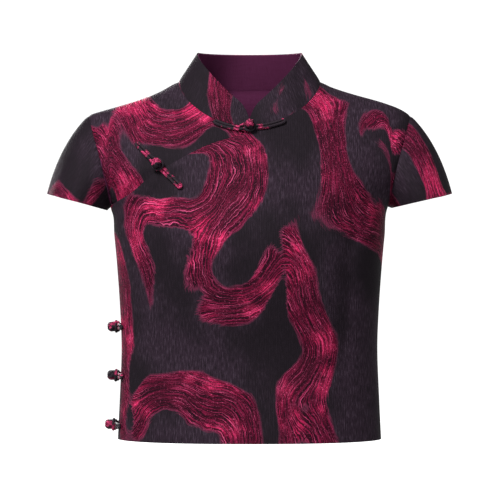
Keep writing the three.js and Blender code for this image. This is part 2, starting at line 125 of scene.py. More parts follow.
def makeStudio():
    makeCamera()
    makeFloor()
    for light in studio["lights"]:
        areaLight(*light)
    world = bpy.data.worlds.new("sky")
    world.use_nodes = True
    sky = world.node_tree.nodes["Background"]
    sky.inputs["Color"].default_value = (1, 1, 1, 1)
    sky.inputs["Strength"].default_value = studio["skyStrength"]
    bpy.context.scene.world = world
    bpy.context.scene.view_settings.view_transform = "Standard"
    bpy.context.scene.view_settings.look = "None"


makeStudio()
print("camera, floor and lights made")


body = {
    "hemHeight": -427,
    "underarmHeight": -150,
    "shoulderTip": (193, -40),
    "sideNeck": (85, 1),
    "frontNeckDrop": 55,
    "backNeckDrop": 5,
    "neckRoundness": 0.62,
    "ringPower": 2.3,
    "shoulderRound": 100,
    "shoulderPower": 2.2,
    "frontNeckRise": 12,
    "backNeckRise": 89,
    # height, half of the width, how far the front and the back stand off the side seams
    "rings": [
        (-427, 159, 100, 94),
        (-376, 156.5, 97, 87),
        (-318, 154.5, 99, 84),
        (-275, 156, 107, 88),
        (-217, 160, 116, 99),
        (-185, 163, 115, 104),
        (-150, 167, 106, 106),
        (-135, 177, 101, 105),
        (-120, 188, 96, 103),
        (-100, 201, 88, 99),
        (-60, 214, 66, 86),
        (-20, 220, 52, 68),
        (40, 222, 46, 56),
    ],
    # distance from the middle, height of the left and the right shoulder
    "shoulderRidge": [
        (85, 1, 1),
        (94, -4.5, -4.2),
        (104, -8.4, -10),
        (123, -14.4, -18.4),
        (161, -25.2, -30.4),
        (180, -32.4, -35.8),
        (193, -40, -40),
        (215, -56, -54),
    ],
    # height and distance from the middle
    "armholeSeam": [(-150, 167), (-122, 171), (-103, 175), (-82, 181), (-62, 187), (-40, 193)],
    "diagonalEdge": [
        (-167, -150),
        (-138, -134),
        (-114, -114),
        (-95, -103),
        (-69, -89),
        (-45, -77.5),
        (-22, -70),
        (-6, -64),
        (0, -54),
    ],
}

# Folds: side, from x z, to x z, width, depth. A depth below zero stands up as a ridge.
folds = [
    ("front", -96, -128, -152, -168, 20, 2.6),
    ("front", 128, -168, 116, -338, 20, 2.6),
    ("front", -118, -214, -104, -372, 24, 2.2),
    ("front", 56, -238, 72, -404, 26, 1.8),
    ("back", -96, -196, -78, -398, 24, 3),
    ("back", 104, -180, 88, -372, 22, 2.6),
    # finer ones: below the chest knot, at the armholes, down the waist and over the shoulders
    ("front", -112, -110, -150, -146, 7, 3.9),
    ("front", -126, -100, -158, -128, 9, -0.8),
    ("front", -112, -116, -118, -150, 8, -1.6),
    ("front", -80, -130, -36, -156, 7, 1.9),
    ("front", -90, -128, -100, -192, 20, -2.8),
    ("front", -116, -100, -152, -94, 6, 1.1),
    ("front", -118, -90, -154, -78, 8, -0.9),
    ("front", 130, -148, 115, -212, 9, 3.2),
    ("front", 115, -192, 112, -352, 9, 4.4),
    ("front", 97, -196, 94, -332, 12, -2.2),
    ("front", -132, -150, -112, -204, 11, 1.3),
    ("front", 164, -140, 118, -196, 10, 1.8),
    ("front", 158, -112, 132, -168, 8, 1.3),
    ("front", 148, -160, 140, -236, 8, -0.7),
    ("front", 143, -206, 134, -392, 11, 1.5),
    ("front", 100, -200, 93, -342, 9, 1.1),
    ("front", 84, -262, 80, -398, 9, -0.8),
    ("front", -143, -236, -136, -404, 11, 2.0),
    ("front", -84, -246, -72, -424, 13, 1.1),
    ("front", -28, -292, -20, -440, 16, 1.2),
    ("front", 14, -322, 22, -446, 12, 1.0),
    ("front", -14, -118, -2, -232, 24, 0.9),
    ("front", 118, -26, 152, -92, 10, 1.1),
    ("front", 96, -34, 108, -112, 12, 0.9),
    ("front", -118, -30, -152, -96, 10, 1.2),
    ("front", -92, -34, -98, -88, 11, 0.8),
    ("front", 60, -96, 98, -150, 18, 0.9),
    ("back", -150, -116, -112, -184, 10, 1.7),
    ("back", 152, -118, 116, -192, 11, 1.5),
    ("back", -138, -214, -130, -388, 12, 1.4),
    ("back", 140, -222, 131, -402, 12, 1.3),
    ("back", -30, -222, -38, -392, 16, 1.5),
    ("back", 34, -206, 26, -366, 15, 1.3),
    ("back", 62, -300, 58, -436, 13, 1.1),
    ("back", -118, -46, -146, -104, 11, 1.1),
    ("back", 112, -42, 146, -110, 12, 1.2),
]


def tableOf(rows, column):
    # a smooth curve through a table: the slope at each row is the mean of the slopes beside it
    at = np.array([row[0] for row in rows], float)
    value = np.array([row[column] for row in rows], float)
    rises = np.diff(value) / np.diff(at)
    slope = np.concatenate([rises[:1], (rises[1:] + rises[:-1]) / 2, rises[-1:]])

    def read(x):
        inside = np.clip(x, at[0], at[-1])
        i = np.clip(np.searchsorted(at, inside) - 1, 0, len(at) - 2)
        wide = at[i + 1] - at[i]
        p = (inside - at[i]) / wide
        start = value[i] * (1 + 2 * p) * (1 - p) ** 2 + slope[i] * wide * p * (1 - p) ** 2
        return start + value[i + 1] * p ** 2 * (3 - 2 * p) - slope[i + 1] * wide * p ** 2 * (1 - p)

    return read


halfWidthAt = tableOf(body["rings"], 1)
standsOff = {"front": tableOf(body["rings"], 2), "back": tableOf(body["rings"], 3)}
leftRidge = tableOf(body["shoulderRidge"], 1)
rightRidge = tableOf(body["shoulderRidge"], 2)
armholeX = tableOf(body["armholeSeam"], 1)


def ridgeAt(x, side):
    # the top of the shoulder, which goes on upwards inside the neck
    out = np.abs(x)
    part = np.clip(out / body["sideNeck"][0], 0, 1)
    if side == "front":
        rise = body["frontNeckRise"] * (1 - part ** 4)
    else:
        rise = body["backNeckRise"] * (1 - part ** 2) ** 1.5
    shoulder = np.where(x > 0, leftRidge(out), rightRidge(out))
    return np.where(out >= body["sideNeck"][0], shoulder, body["sideNeck"][1] + rise)


def foldDepth(x, z, side):
    depth = np.zeros_like(x)
    for where, fromX, fromZ, toX, toZ, width, deep in folds:
        if where != side:
            continue
        alongX, alongZ = toX - fromX, toZ - fromZ
        length = math.hypot(alongX, alongZ)
        along = ((x - fromX) * alongX + (z - fromZ) * alongZ) / length ** 2
        across = ((x - fromX) * alongZ - (z - fromZ) * alongX) / length
        depth += deep * np.exp(-((2 * along - 1) ** 4)) * np.exp(-((across / width) ** 2))
    return depth


def bodyY(x, z, side):
    power = body["ringPower"]
    across = np.maximum(0, 1 - (np.abs(x) / halfWidthAt(z)) ** power) ** (1 / power)
    below = np.clip((ridgeAt(x, side) - z) / body["shoulderRound"], 0, 1)
    over = (1 - (1 - below) ** body["shoulderPower"]) ** (1 / body["shoulderPower"])
    depth = (standsOff[side](z) - foldDepth(x, z, side)) * across * over
    return -depth if side == "front" else depth


def bodyNormal(x, z, side):
    step = 0.3
    width = halfWidthAt(z) - 2 * step
    inX = np.clip(x, -width, width)
    inZ = np.minimum(z, ridgeAt(inX, side) - 2 * step)
    slopeX = (bodyY(inX + step, inZ, side) - bodyY(inX - step, inZ, side)) / (2 * step)
    slopeZ = (bodyY(inX, inZ + step, side) - bodyY(inX, inZ - step, side)) / (2 * step)
    sign = 1 if side == "front" else -1
    onSeam = np.abs(bodyY(x, z, side)) <= 0.15
    normal = np.stack([sign * slopeX, np.where(onSeam, 0, -sign), sign * slopeZ], -1)
    return normal / np.linalg.norm(normal, axis=-1, keepdims=True)


def onBody(x, z, side, drop=0.0):
    # points of the body with their normals, let down below the surface by drop
    x, z = np.asarray(x, float), np.asarray(z, float)
    normal = bodyNormal(x, z, side)
    point = np.stack([x, bodyY(x, z, side), z], -1)
    return point - normal * np.asarray(drop)[..., None], normal


def neckline(angle, side):
    drop = body["frontNeckDrop"] if side == "front" else body["backNeckDrop"]
    dip = np.abs(np.cos(angle)) ** (2 * body["neckRoundness"])
    return np.stack([body["sideNeck"][0] * np.sin(angle), body["sideNeck"][1] - drop * dip], -1)


def shoulderSeam(part, sign):
    tip, neck = body["shoulderTip"][0], body["sideNeck"][0]
    x = sign * (tip + (neck - tip) * part ** 1.5)
    return np.stack([x, ridgeAt(x, "front")], -1)


def sideEdge(z, sign):
    # the side seam and, above the underarm, the armhole
    x = np.where(z > body["underarmHeight"], armholeX(z), halfWidthAt(z))
    return np.stack([sign * x, z], -1)


def curveThrough(places, count):
    # a centripetal curve through the places, its ends carried straight on
    line = np.array(places, float)
    line = np.vstack([2 * line[0] - line[1], line, 2 * line[-1] - line[-2]])
    found = []
    for t in np.linspace(0, len(places) - 1, count):
        i = min(int(t), len(places) - 2)
        a, b, c, d = line[i : i + 4]
        p = t - i
        gaps = [max(math.dist(*pair), 1e-6) ** 0.5 for pair in ((a, b), (b, c), (c, d))]
        start = ((b - a) / gaps[0] - (c - a) / (gaps[0] + gaps[1]) + (c - b) / gaps[1]) * gaps[1]
        end = ((c - b) / gaps[1] - (d - b) / (gaps[1] + gaps[2]) + (d - c) / gaps[2]) * gaps[1]
        bend = b * (1 + 2 * p) * (1 - p) ** 2 + start * p * (1 - p) ** 2
        found.append(bend + c * p ** 2 * (3 - 2 * p) - end * p ** 2 * (1 - p))
    return np.array(found)


diagonalSteps = 400  # steps along the diagonal edge
diagonalLine = curveThrough(body["diagonalEdge"], diagonalSteps + 1)
diagonalPlaces = diagonalLine[:: diagonalSteps // 80]  # enough of them to measure distances from


def diagonal(part):
    at = np.asarray(part) * diagonalSteps
    steps = np.arange(diagonalSteps + 1)
    return np.stack([np.interp(at, steps, diagonalLine[:, 0]), np.interp(at, steps, diagonalLine[:, 1])], -1)


def acrossRing(u):
    # how far across a ring the part u of the way between its side seams lies, from -1 to 1
    turn = (u - 0.5) * math.pi
    return np.sign(turn) * np.abs(np.sin(turn)) ** (2 / body["ringPower"])


def hemAt(u):
    x = acrossRing(u) * halfWidthAt(body["hemHeight"])
    return np.stack([x, np.full_like(x, body["hemHeight"])], -1)


def between(a, b, part):
    return a + (b - a) * part


def distanceToLine(x, z, line):
    near = np.full(np.shape(x), np.inf)
    which = np.zeros(np.shape(x), int)
    for k, (px, pz) in enumerate(line):
        away = np.hypot(x - px, z - pz)
        which = np.where(away < near, k, which)
        near = np.minimum(away, near)
    return near, which


underlap = {
    "lowest": -182,
    "width": 28,
    "slant": 0.3,
    "cornerPower": 8,
    "gap": 1.4,
    "shallow": 10,
    "level": 45,
}
clothThickness = 1.6


def smoothStep(value, low, high):
    part = np.clip((value - low) / (high - low), 0, 1)
    return part * part * (3 - 2 * part)


def underlapDrop(x, z):
    # how far the underlap lies below the main front: all the way under it, and less with distance
    near, which = distanceToLine(x, z, diagonalPlaces)
    above = (z > diagonalPlaces[which, 1]) | (x < diagonalPlaces[which, 0])
    away = np.where(above, near, 0)
    return (clothThickness + underlap["gap"]) * (1 - smoothStep(away, underlap["shallow"], underlap["level"]))


weave = {"armholeRows": 44, "sleeveRows": 26, "collarRows": 14}


def armholeHeight(turn):
    tip, under = body["shoulderTip"][1], body["underarmHeight"]
    return (tip + under) / 2 + (tip - under) / 2 * np.cos(turn)


def rowLevels(lowest, rowCount):
    # rows from the lowest height to the shoulder tip, with the armhole's own heights at the top
    low = np.linspace(lowest, body["underarmHeight"], rowCount, endpoint=False)
    high = armholeHeight(math.pi * (1 - np.arange(weave["armholeRows"] + 1) / weave["armholeRows"]))
    return (np.concatenate([low, high]) - lowest) / (body["shoulderTip"][1] - lowest)


def fourSided(u, w, bottom, upper, left, right):
    # places between four edges
    u, w = u[:, None], w[:, None]
    flatU, flatW = u[:, 0], w[:, 0]
    place = bottom(flatU) * (1 - w) + upper(flatU) * w + left(flatW) * (1 - u) + right(flatW) * u
    zero, one = np.zeros(1), np.ones(1)
    place = place - bottom(zero) * (1 - u) * (1 - w) - bottom(one) * u * (1 - w)
    return place - upper(zero) * (1 - u) * w - upper(one) * u * w


def inHalfWidths(edge):
    # the same edge, its x as a share of the body's half width at each height
    def at(part):
        place = edge(part)
        return place / np.stack([halfWidthAt(place[:, 1]), np.ones(len(place))], -1)

    return at


def clothGrid(columns, levels):
    # a flat grid of cloth whose corners run from 0 to 1, its rows at the given levels
    bm = bmesh.new()
    bm.loops.layers.uv.new("cut")
    bmesh.ops.create_grid(bm, x_segments=columns, y_segments=len(levels) - 1, size=0.5, calc_uvs=True)
    u = np.array([v.co.x for v in bm.verts]) + 0.5
    row = (np.array([v.co.y for v in bm.verts]) + 0.5) * (len(levels) - 1)
    return bm, u, np.interp(row, np.arange(len(levels)), levels)


def acrossBody(x, z, side, steps=48):
    # the way round the body from its middle to x
    part = (np.arange(steps + 1) / steps)[:, None]
    xs, zs = x[None, :] * part, np.broadcast_to(z[None, :], (steps + 1, len(z)))
    ys = bodyY(xs, zs, side)
    return np.hypot(np.diff(xs, axis=0), np.diff(ys, axis=0)).sum(0) * np.sign(x)


def upBody(x, z, side, steps=40):
    # the way up the body from the hem, which leans in over the shoulders
    part = (np.arange(steps + 1) / steps)[:, None]
    start = body["underarmHeight"]
    zs = start + (np.maximum(z, start)[None, :] - start) * part
    xs = np.broadcast_to(x[None, :], zs.shape)
    ys = bodyY(xs, zs, side)
    way = np.hypot(np.diff(zs, axis=0), np.diff(ys, axis=0)).sum(0)
    return np.minimum(z, start) - body["hemHeight"] + way


softEdge = {"width": 0.4, "segments": 2, "angle": 55}


def finishCloth(bm, name, points, cut, closed=False, replaces=(),
                thickness=clothThickness, linedRim=False):
    # gives the grid its shape and its cut, and the cloth its thickness and lining
    for v, place in zip(bm.verts, points * mm):
        v.co = place
    layer = bm.loops.layers.uv["cut"]
    for face in bm.faces:
        for loop in face.loops:
            loop[layer].uv = cut[loop.vert.index] * mm
    if closed:
        bmesh.ops.remove_doubles(bm, verts=bm.verts, dist=1e-6)
        bmesh.ops.recalc_face_normals(bm, faces=bm.faces)
    mesh = bpy.data.meshes.new(name)
    bm.to_mesh(mesh)
    bm.free()
    for polygon in mesh.polygons:
        polygon.use_smooth = True
    piece = bpy.data.objects.new(name, mesh)
    bpy.context.scene.collection.objects.link(piece)
    wall = piece.modifiers.new("cloth thickness", "SOLIDIFY")
    wall.thickness = thickness * mm
    wall.offset = -1
    wall.material_offset = 1
    wall.material_offset_rim = 1 if linedRim else 0
    wall.use_quality_normals = True
    edge = piece.modifiers.new("soft edge", "BEVEL")
    edge.width = softEdge["width"] * mm
    edge.segments = softEdge["segments"]
    edge.limit_method = "ANGLE"
    edge.angle_limit = math.radians(softEdge["angle"])
    edge.harden_normals = True
    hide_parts(*replaces)
    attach(piece, "root")
    return piece


seams = {"rollDepth": 1.3, "rollWidth": 2.4, "liftHeight": 1.1, "liftAt": 3, "liftWidth": 7,
         "turnDepth": 0.9, "turnWidth": 1.2}


def seamRoll(distance, depth=seams["rollDepth"]):
    # the cloth turns in towards a sewn edge
    return depth * np.exp(-distance / seams["rollWidth"])


def edgeLift(distance):
    # the free diagonal edge stands up a little over the underlap, and turns in at its end
    lift = seams["liftHeight"] * np.exp(-((distance - seams["liftAt"]) / seams["liftWidth"]) ** 2)
    return lift - seams["turnDepth"] * np.exp(-distance / seams["turnWidth"])


def shoulderPart(share, t):
    return np.clip(t / share, 0, 1)


def backTop(u):
    share = 0.25
    left = shoulderSeam(shoulderPart(share, u), -1)
    neck = neckline((shoulderPart(1 - 2 * share, u - share) - 0.5) * math.pi, "back")
    right = shoulderSeam(1 - shoulderPart(share, u - 1 + share), 1)
    return np.where((u <= share)[:, None], left, np.where((u <= 1 - share)[:, None], neck, right))


def frontTop(u):
    edge = diagonal(1 + acrossRing(shoulderPart(0.5, u) / 2))
    neck = neckline(shoulderPart(0.25, u - 0.5) * math.pi / 2, "front")
    right = shoulderSeam(1 - shoulderPart(0.25, u - 0.75), 1)
    return np.where((u <= 0.5)[:, None], edge, np.where((u <= 0.75)[:, None], neck, right))


def underlapTop(u):
    left = shoulderSeam(shoulderPart(0.5, u), -1)
    neck = neckline((shoulderPart(0.5, u - 0.5) - 1) * math.pi / 2, "front")
    return np.where((u <= 0.5)[:, None], left, neck)


def underlapBottom(u):
    below = diagonal(1 + acrossRing(u / 2))
    below = below + np.stack([underlap["width"] * underlap["slant"] * u, 0 * u - underlap["width"]], -1)
    share = ((1 - u) ** underlap["cornerPower"])[:, None]
    return below * (1 - share) + sideEdge(np.array([float(underlap["lowest"])]), -1) * share


def underlapRight(w):
    low = diagonal(np.ones(1)) + np.array([[underlap["width"] * underlap["slant"], -underlap["width"]]])
    return between(low, neckline(np.zeros(1), "front"), w[:, None])


def wholeEdge(sign, lowest=body["hemHeight"], highest=body["shoulderTip"][1]):
    return lambda w: sideEdge(between(lowest, highest, w), sign)


# flat is the width and height of a cut piece in metres, and area its square metres
bodyPieces = {
    "back_panel": {
        "side": "back",
        "edges": (hemAt, backTop, wholeEdge(-1), wholeEdge(1)),
        "columns": 116,
        "lowest": body["hemHeight"],
        "rows": 62,
        "cutShift": (420, 210),
        "flat": (0.444, 0.472),
        "area": 0.1776,
    },
    "front_panel": {
        "side": "front",
        "edges": (hemAt, frontTop, wholeEdge(-1, highest=body["underarmHeight"]), wholeEdge(1)),
        "columns": 116,
        "lowest": body["hemHeight"],
        "rows": 62,
        "cutShift": (96, -28),
        "flat": (0.451, 0.463),
        "area": 0.1557,
    },
    "underlap_panel": {
        "side": "front",
        "edges": (underlapBottom, underlapTop, wholeEdge(-1, underlap["lowest"]), underlapRight),
        "columns": 60,
        "lowest": underlap["lowest"],
        "rows": 8,
        "cutShift": (-236, 34),
        "flat": (0.234, 0.219),
        "area": 0.0251,
    },
}


farAway = 400  # puts an edge out of reach of the places that it doesn't border


def sewnDistance(name, x, z):
    # how far a place is from the nearest sewn edge of its piece
    away = halfWidthAt(z) - np.abs(x) + farAway * (z > body["underarmHeight"])
    hole = np.abs(armholeX(z) - np.abs(x)) + farAway * (z < body["underarmHeight"] - 4)
    away = np.minimum(away, hole)
    angles = np.linspace(-math.pi / 2, math.pi / 2, 61)
    neck = neckline(angles, "back" if name == "back_panel" else "front")
    return np.minimum(away, distanceToLine(x, z, neck)[0])


def makeBodyPiece(name):
    kind = bodyPieces[name]
    levels = rowLevels(kind["lowest"], kind["rows"])
    bm, u, w = clothGrid(kind["columns"], levels)
    share, z = fourSided(u, w, *[inHalfWidths(edge) for edge in kind["edges"]]).T
    x = np.clip(share, -1, 1) * halfWidthAt(z)
    drop = seamRoll(sewnDistance(name, x, z))
    if name == "underlap_panel":
        drop = drop + underlapDrop(x, z)
    if name == "front_panel":
        drop = drop - edgeLift(distanceToLine(x, z, diagonalPlaces)[0])
    points, _ = onBody(x, z, kind["side"], drop)
    cut = np.stack([acrossBody(x, z, kind["side"]), upBody(x, z, kind["side"])], -1)
    cut = cut * (-1 if kind["side"] == "back" else 1, 1) + np.array(kind["cutShift"], float)
    if kind["side"] == "back":
        bmesh.ops.reverse_faces(bm, faces=bm.faces)
    piece = finishCloth(bm, name + "_cloth", points, cut, replaces=[name], linedRim=name != "front_panel")
    return piece


clothPieces = [makeBodyPiece(name) for name in bodyPieces]
print("front, underlap and back made")


sleeveCut = {
    "tip": (243, -134),
    "inner": 171,
    "halfDepth": 60,
    "hemSlope": {1: 0.24, -1: 0.28},
    "crownBulge": 9,
    "sideBulge": 6,
    "armAxis": (0.6, 0.8),
    "bendAt": 0.45,
    "flat": (0.33, 0.107),
    "area": 0.0172,
    "cutRound": 330,
    "cutShift": {1: (860, 150), -1: (-780, 330)},
    # soft flutes, which fade out at the armhole: where round the arm, how wide, how deep
    "flutes": [(0.5, 0.3, 1.6), (1.15, 0.24, 1.9), (1.9, 0.3, 1.1), (-0.75, 0.3, 1.7), (-1.6, 0.26, 1.4)],
    "fluteTurn": 2.1,
    "flutePower": 1.4,
    "leftFluteShift": 0.12,
}


def armholeAt(turn, sign):
    z = armholeHeight(turn)
    x = sideEdge(z, sign)[:, 0]
    front, frontNormal = onBody(x, z, "front")
    back, backNormal = onBody(x, z, "back")
    isFront = (np.sin(turn) >= 0)[:, None]
    return np.where(isFront, front, back), np.where(isFront, frontNormal, backNormal)


def sleeveHemAt(turn, sign):
    tipX, tipZ = sleeveCut["tip"]
    x = between(sleeveCut["inner"], tipX, (1 + np.cos(turn)) / 2)
    z = tipZ - sleeveCut["hemSlope"][sign] * (tipX - x)
    return np.stack([sign * x, -sleeveCut["halfDepth"] * np.sin(turn), z], -1)


def unit(vectors):
    return vectors / np.maximum(np.linalg.norm(vectors, axis=-1, keepdims=True), 1e-9)


def makeSleeve(name, sign):
    columns = 2 * weave["armholeRows"]
    rows = weave["sleeveRows"]
    bm, u, w = clothGrid(columns, np.linspace(0, 1, rows + 1))
    turn = u * 2 * math.pi
    quarter = np.array([math.pi / 2])
    hole = (armholeAt(quarter, sign)[0] + armholeAt(-quarter, sign)[0])[0] / 2
    cuff = (sleeveHemAt(quarter, sign) + sleeveHemAt(-quarter, sign))[0] / 2
    middle = (hole + cuff) / 2
    outward, down = sleeveCut["armAxis"]
    armAxis = np.array([sign * outward, 0, -down])
    seam, seamNormal = armholeAt(turn, sign)
    hem = sleeveHemAt(turn, sign)
    control = between(seam, hem, sleeveCut["bendAt"])
    radial = control - middle
    radial = unit(radial - np.outer(radial @ armAxis, armAxis))
    bulge = np.maximum(0, sleeveCut["sideBulge"] + sleeveCut["crownBulge"] * np.cos(turn))
    control = control + radial * bulge[:, None]
    p = w[:, None]
    points = seam * (1 - p) ** 2 + control * 2 * p * (1 - p) + hem * p ** 2
    length = np.linalg.norm(hem - seam, axis=-1)
    points = points - seamNormal * seamRoll(w * length)[:, None]
    points = points - radial * sleeveFolds(turn, w, sign)[:, None]
    cut = np.stack([(u - 0.5) * sleeveCut["cutRound"], -w * length], -1)
    cut = cut + np.array(sleeveCut["cutShift"][sign], float)
    piece = finishCloth(bm, name + "_cloth", points, cut, closed=True, replaces=[name])
    return piece


def sleeveFolds(turn, w, sign):
    shift = sleeveCut["leftFluteShift"] if sign > 0 else 0
    grown = np.sin(np.clip(w, 0, 1) * sleeveCut["fluteTurn"]) ** sleeveCut["flutePower"]
    depth = np.zeros_like(turn)
    for at, wide, deep in sleeveCut["flutes"]:
        gap = (turn - at - shift + math.pi) % (2 * math.pi) - math.pi
        depth += deep * np.exp(-((gap / wide) ** 2)) * grown
    return depth


clothPieces += [makeSleeve("sleeve_right", -1), makeSleeve("sleeve_left", 1)]
print("sleeves made")


collar = {
    "topX": 63,
    "topFront": 46,
    "topBack": 44,
    "topHeight": 36,
    "frontHeight": -34,
    "climb": 105,
    "climbPower": 1.15,
    "corner": 16,
    "endShare": 0.22,
    "endGap": 0.5,
    "columns": 128,
    "standHeight": 42,
    "cutHeight": 44,
    "rollDepth": 0.8,
    "pieces": {
        "collar_stand": {
            "inset": 0,
            "thickness": 1.4,
            "lift": -0.9,
            "slot": "jacquard",
            "shift": (260, -190),
            "area": 0.0183,
        },
        "collar_lining": {
            "inset": 1.7,
            "thickness": 1.0,
            "lift": -0.6,
            "slot": "plum_satin",
            "shift": (0, 0),
            "area": 0.0175,
        },
    },
    "flat": (0.455, 0.044),
}


def collarBaseAt(angle):
    front, back = neckline(angle, "front"), neckline(angle, "back")
    onFront, _ = onBody(front[:, 0], front[:, 1], "front")
    onBack, _ = onBody(back[:, 0], back[:, 1], "back")
    return np.where((np.cos(angle) > 0)[:, None], onFront, onBack)


def collarTopAt(angle):
    degrees = np.degrees(np.minimum(angle, 2 * math.pi - angle))
    climb = np.sin(np.minimum(degrees / collar["climb"], 1) * math.pi / 2) ** collar["climbPower"]
    depth = np.where(np.cos(angle) > 0, collar["topFront"], collar["topBack"])
    z = between(collar["frontHeight"], collar["topHeight"], climb)
    return np.stack([collar["topX"] * np.sin(angle), -depth * np.cos(angle), z], -1)


def makeCollar(name):
    kind = collar["pieces"][name]
    rows = weave["collarRows"]
    columns = collar["columns"]
    bm, u, w = clothGrid(columns, np.linspace(0, 1, rows + 1))
    endAngle = math.asin(collar["endGap"] / body["sideNeck"][0])
    angle = between(endAngle, 2 * math.pi - endAngle, u)
    base, edge = collarBaseAt(angle), collarTopAt(angle)
    fromEnd = np.minimum(angle, 2 * math.pi - angle) * body["sideNeck"][0]
    inCorner = np.maximum(0, 1 - fromEnd / collar["corner"])
    height = collar["endShare"] + (1 - collar["endShare"]) * np.sqrt(1 - inCorner ** 2)
    lift = kind["lift"] / np.linalg.norm(edge - base, axis=-1)
    part = between(lift, height, w)[:, None]
    points = between(base, edge, part)
    order = np.lexsort((u, w)).reshape(rows + 1, columns + 1)
    grid = points[order]
    around = np.gradient(grid, axis=1)
    up = np.gradient(grid, axis=0)
    normal = unit(np.cross(around, up))
    outside = grid * np.array([1, 1, 0])
    normal = normal * np.where((normal * outside).sum(-1) < 0, -1, 1)[..., None]
    rolled = kind["inset"]
    if name == "collar_stand":
        rolled = rolled + seamRoll(w[order] * collar["standHeight"], collar["rollDepth"])
    points[order] = grid - normal * np.asarray(rolled)[..., None]
    steps = np.linalg.norm(np.diff(grid[rows // 2], axis=0), axis=-1)
    way = np.concatenate([[0], np.cumsum(steps)])
    across = np.interp(u, np.linspace(0, 1, columns + 1), way)
    cut = np.stack([across, w * collar["cutHeight"]], -1) + np.array(kind["shift"], float)
    if name == "collar_lining":
        bmesh.ops.reverse_faces(bm, faces=bm.faces)
        points[order] = grid - normal * (kind["inset"] + kind["thickness"])
    piece = finishCloth(bm, name + "_cloth", points, cut, replaces=[name],
                        thickness=kind["thickness"])
    return piece


collarPieces = [makeCollar(name) for name in collar["pieces"]]
print("collar and its lining made")


class Shade:
    # a shader value, so that materials can be written as plain maths
    def __init__(self, tree, socket):
        self.tree = tree
        self.socket = socket

    def maths(self, operation, *values):
        node = self.tree.nodes.new("ShaderNodeMath")
        node.operation = operation
        for socket, value in zip(node.inputs, values):
            plug(self.tree, socket, value)
        return Shade(self.tree, node.outputs[0])

    def __add__(self, other):
        return self.maths("ADD", self, other)

    def __radd__(self, other):
        return self.maths("ADD", other, self)

    def __sub__(self, other):
        return self.maths("SUBTRACT", self, other)

    def __rsub__(self, other):
        return self.maths("SUBTRACT", other, self)

    def __mul__(self, other):
        return self.maths("MULTIPLY", self, other)

    def __rmul__(self, other):
        return self.maths("MULTIPLY", other, self)

    def __truediv__(self, other):
        return self.maths("DIVIDE", self, other)

    def __rtruediv__(self, other):
        return self.maths("DIVIDE", other, self)

    def __pow__(self, other):
        return self.maths("POWER", self, other)

    def __rpow__(self, other):
        return self.maths("POWER", other, self)

    def __abs__(self):
        return self.maths("ABSOLUTE", self)

    def wave(self):
        return self.maths("SINE", self)

    def least(self, other):
        return self.maths("MINIMUM", self, other)

    def most(self, other):
        return self.maths("MAXIMUM", self, other)

    def step(self, low, high):
        # 0 at low, 1 at high, eased between
        part = ((self - low) / (high - low)).most(0.0).least(1.0)
        return part * part * (3 - 2 * part)


def plug(tree, socket, value):
    if isinstance(value, Shade):
        tree.links.new(value.socket, socket)
    else:
        socket.default_value = value


class Finish:
    # a material: its maths comes from Shade, and its other nodes from one method
    def __init__(self, name, constants):
        self.material = bpy.data.materials.new(name)
        self.material.use_nodes = True
        self.tree = self.material.node_tree
        self.shader = self.tree.nodes["Principled BSDF"]
        for socket, value in constants.items():
            self.shader.inputs[socket].default_value = value

    def node(self, kind, output, settings=None, values=None):
        node = self.tree.nodes.new("ShaderNode" + kind)
        for setting, value in (settings or {}).items():
            setattr(node, setting, value)
        for socket, value in (values or {}).items():
            plug(self.tree, node.inputs[socket], value)
        return Shade(self.tree, node.outputs[output])

    def axes(self, vector):
        return [self.node("SeparateXYZ", axis, values={"Vector": vector}) for axis in "XYZ"]

    def point(self, x, y, z):
        return self.node("CombineXYZ", "Vector", values={"X": x, "Y": y, "Z": z})

    def cutPlace(self):
        uv = self.node("UVMap", "UV", {"uv_map": "cut"})
        return self.axes(uv)[:2]

    def noise(self, vector, scale, detail=2.0, roughness=0.5):
        values = {"Vector": vector, "Scale": scale, "Detail": detail, "Roughness": roughness}
        return self.node("TexNoise", "Fac", {"noise_dimensions": "3D"}, values)

    def mix(self, part, a, b):
        settings = {"data_type": "RGBA", "blend_type": "MIX"}
        return self.node("Mix", 2, settings, {0: part, 6: a, 7: b})

    def bump(self, height, distance):
        return self.node("Bump", "Normal", values={"Height": height, "Distance": distance})

    def set(self, socket, value):
        plug(self.tree, self.shader.inputs[socket], value)


jacquardLook = {
    "groundBlack": (0.0045, 0.0035, 0.0045, 1),
    "groundPlum": (0.0100, 0.0062, 0.0096, 1),
    "groundThread": (0.0248, 0.0172, 0.0248, 1),
    "crimson": (0.0720, 0.0034, 0.0158, 1),
    # the brighter crimson is partly the print's own lighter tone and partly a painted satin highlight
    "crimsonToneAndSheen": (0.2888, 0.0108, 0.0507, 1),
    "crimsonDark": (0.0075, 0.0017, 0.0037, 1),
    # the lightest crimson is partly the print's pink threads and partly a painted satin glint
    "crimsonThreadAndGlint": (0.5580, 0.0900, 0.2059, 1),
    "outline": (0.0990, 0.0158, 0.0383, 1),
    "flowAngle": -52,
    "ribbonSpacing": 0.15,
    "sway": 0.82,
    "swayScale": (6.2, 5.0),
    "slopeStep": 0.004,
    "shiver": 0.05,
    "share": -0.45,
    "calmBelow": 11,
    "calmWeight": 1.9,
    "widthWeight": 2.6,
    "streakWeight": 0.8,
    "streaks": 128,
    "ribWidth": 0.0026,
    "threadWidth": 0.00052,
    "shifts": (5.7, 2.2),
    "relief": 0.00013,
}


def swayAt(finish, x, y):
    wide, high = jacquardLook["swayScale"]
    return finish.noise(finish.point(x * wide, y * high, jacquardLook["shifts"][0]), 1.0, 1.2, 0.5)


